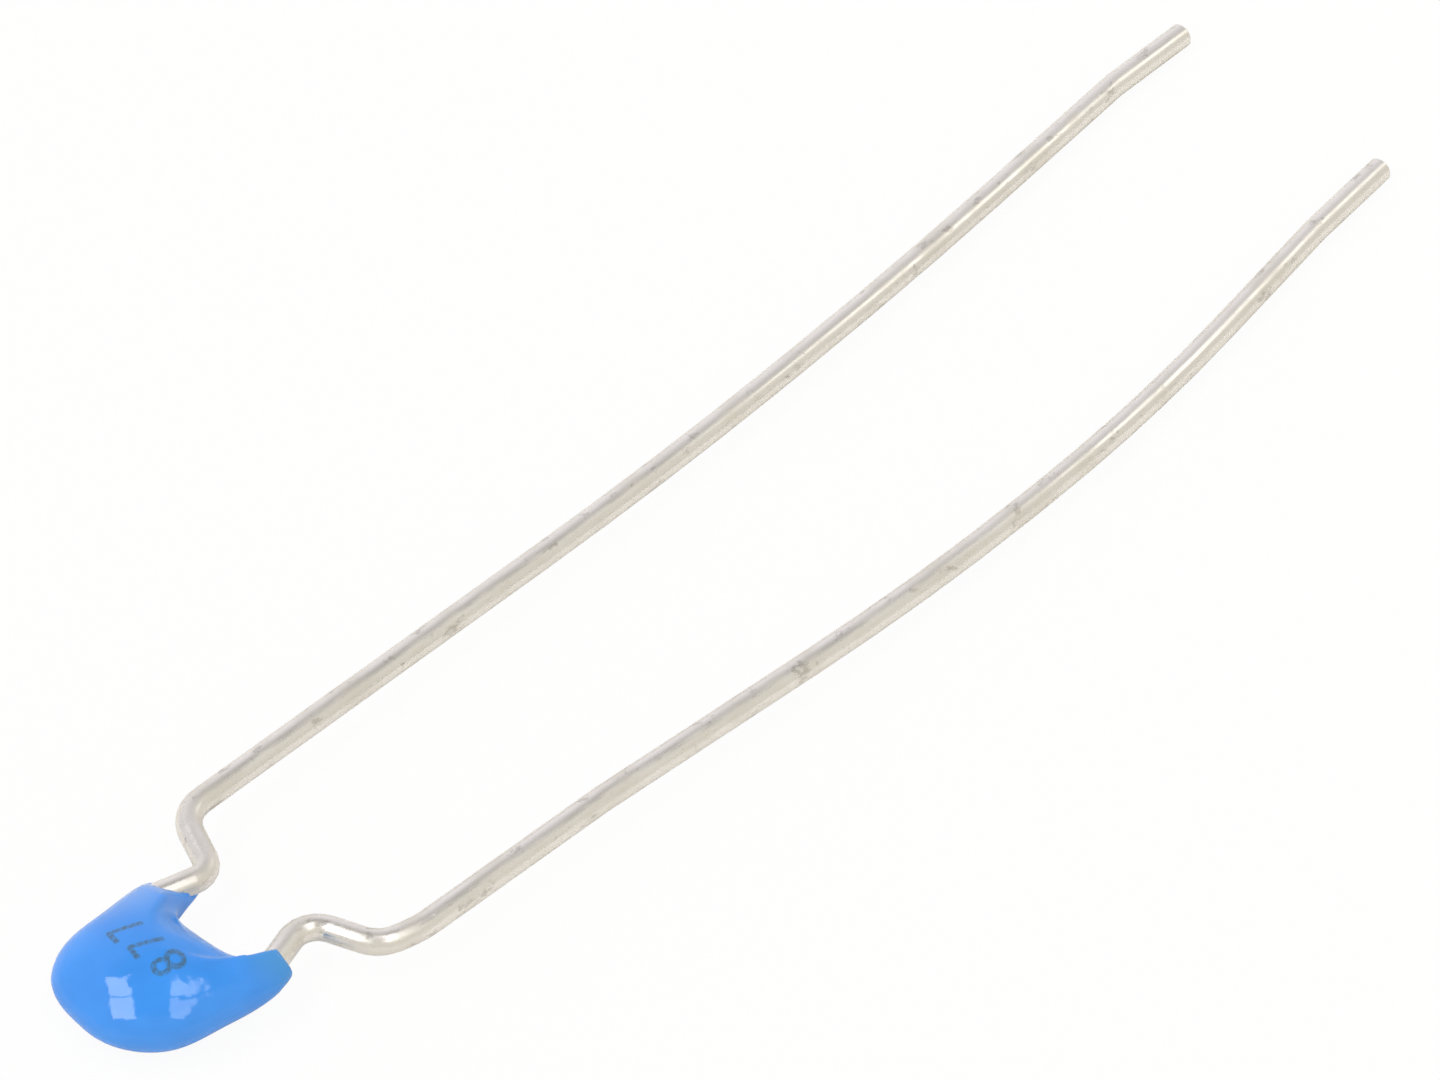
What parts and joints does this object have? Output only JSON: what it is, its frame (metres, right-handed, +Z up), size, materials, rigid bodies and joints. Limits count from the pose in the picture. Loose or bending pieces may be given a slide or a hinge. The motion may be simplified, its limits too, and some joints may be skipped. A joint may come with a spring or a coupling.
{
  "type": "multilayer ceramic capacitor",
  "caption": "Small blue dipped ceramic capacitor with two long jogged wire leads for through-hole mounting, with a layered ceramic chip sealed inside the coating.",
  "frame": {"origin": "Middle of the part's footprint, at the height of the surface it lies on.", "axes": "+Y runs along the leads from the coated body to the lead tips, +X runs across from the left lead to the right lead, +Z is up, square to the surface that the part lies on."},
  "size_m": [0.0076, 0.0332, 0.0017],
  "materials": {
    "epoxy": "glossy bright blue dipped epoxy",
    "dielectric": "matt fired barium titanate ceramic, brown",
    "electrode_metal": "thin sintered nickel layers",
    "end_plating": "matt plated tin over the end terminations",
    "solder": "bright soft solder",
    "tinned_wire": "tinned wire, slightly dull and scuffed"
  },
  "bodies": {
    "root": {"coating": "epoxy", "ceramic_block": "dielectric", "electrodes_left": "electrode_metal", "electrodes_right": "electrode_metal", "end_cap_left": "end_plating", "end_cap_right": "end_plating", "solder_left": "solder", "solder_right": "solder", "lead_left": "tinned_wire", "lead_right": "tinned_wire"}
  },
  "joints": []
}
